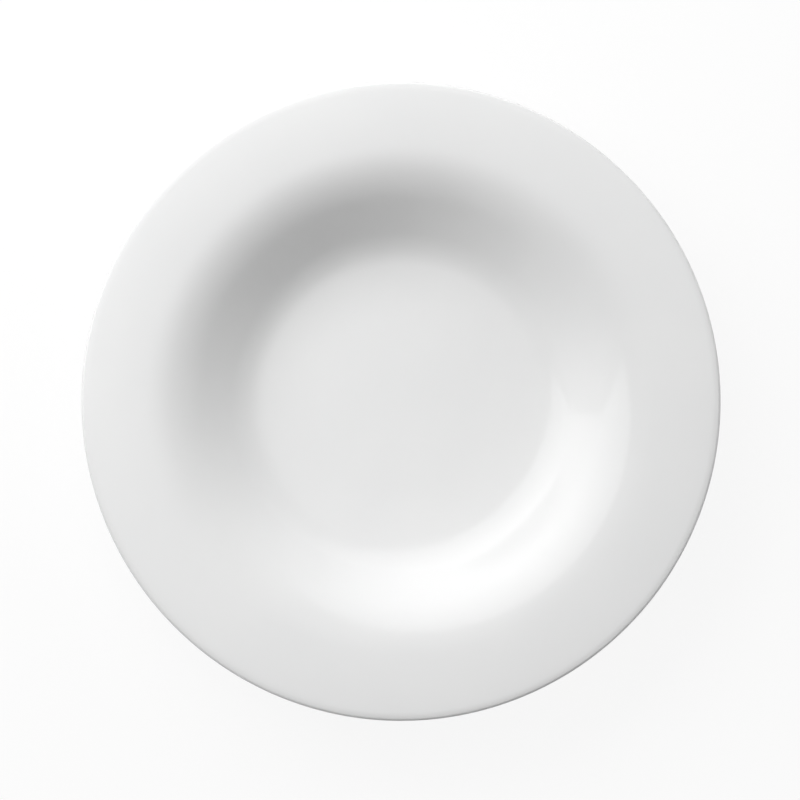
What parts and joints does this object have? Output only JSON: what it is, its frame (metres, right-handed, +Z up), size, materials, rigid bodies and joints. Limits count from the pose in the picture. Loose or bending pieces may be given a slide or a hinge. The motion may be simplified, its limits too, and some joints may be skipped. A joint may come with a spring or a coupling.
{
  "type": "pasta plate",
  "caption": "Round white porcelain pasta plate with a wide, nearly level rim, a deep well with a conical wall and flat floor, and a bare foot ring.",
  "frame": {"origin": "middle of the foot ring, on the table", "axes": "+Z up along the axis that the plate is turned about; X and Y are alike"},
  "size_m": [0.3, 0.3, 0.044],
  "materials": {
    "bare_clay": "fired white porcelain, unglazed, polished smooth and matte",
    "glaze": "clear glossy glaze on white porcelain"
  },
  "bodies": {
    "root": {"plate_body": "bare_clay", "outer_glaze": "glaze", "recess_glaze": "glaze"}
  },
  "joints": []
}
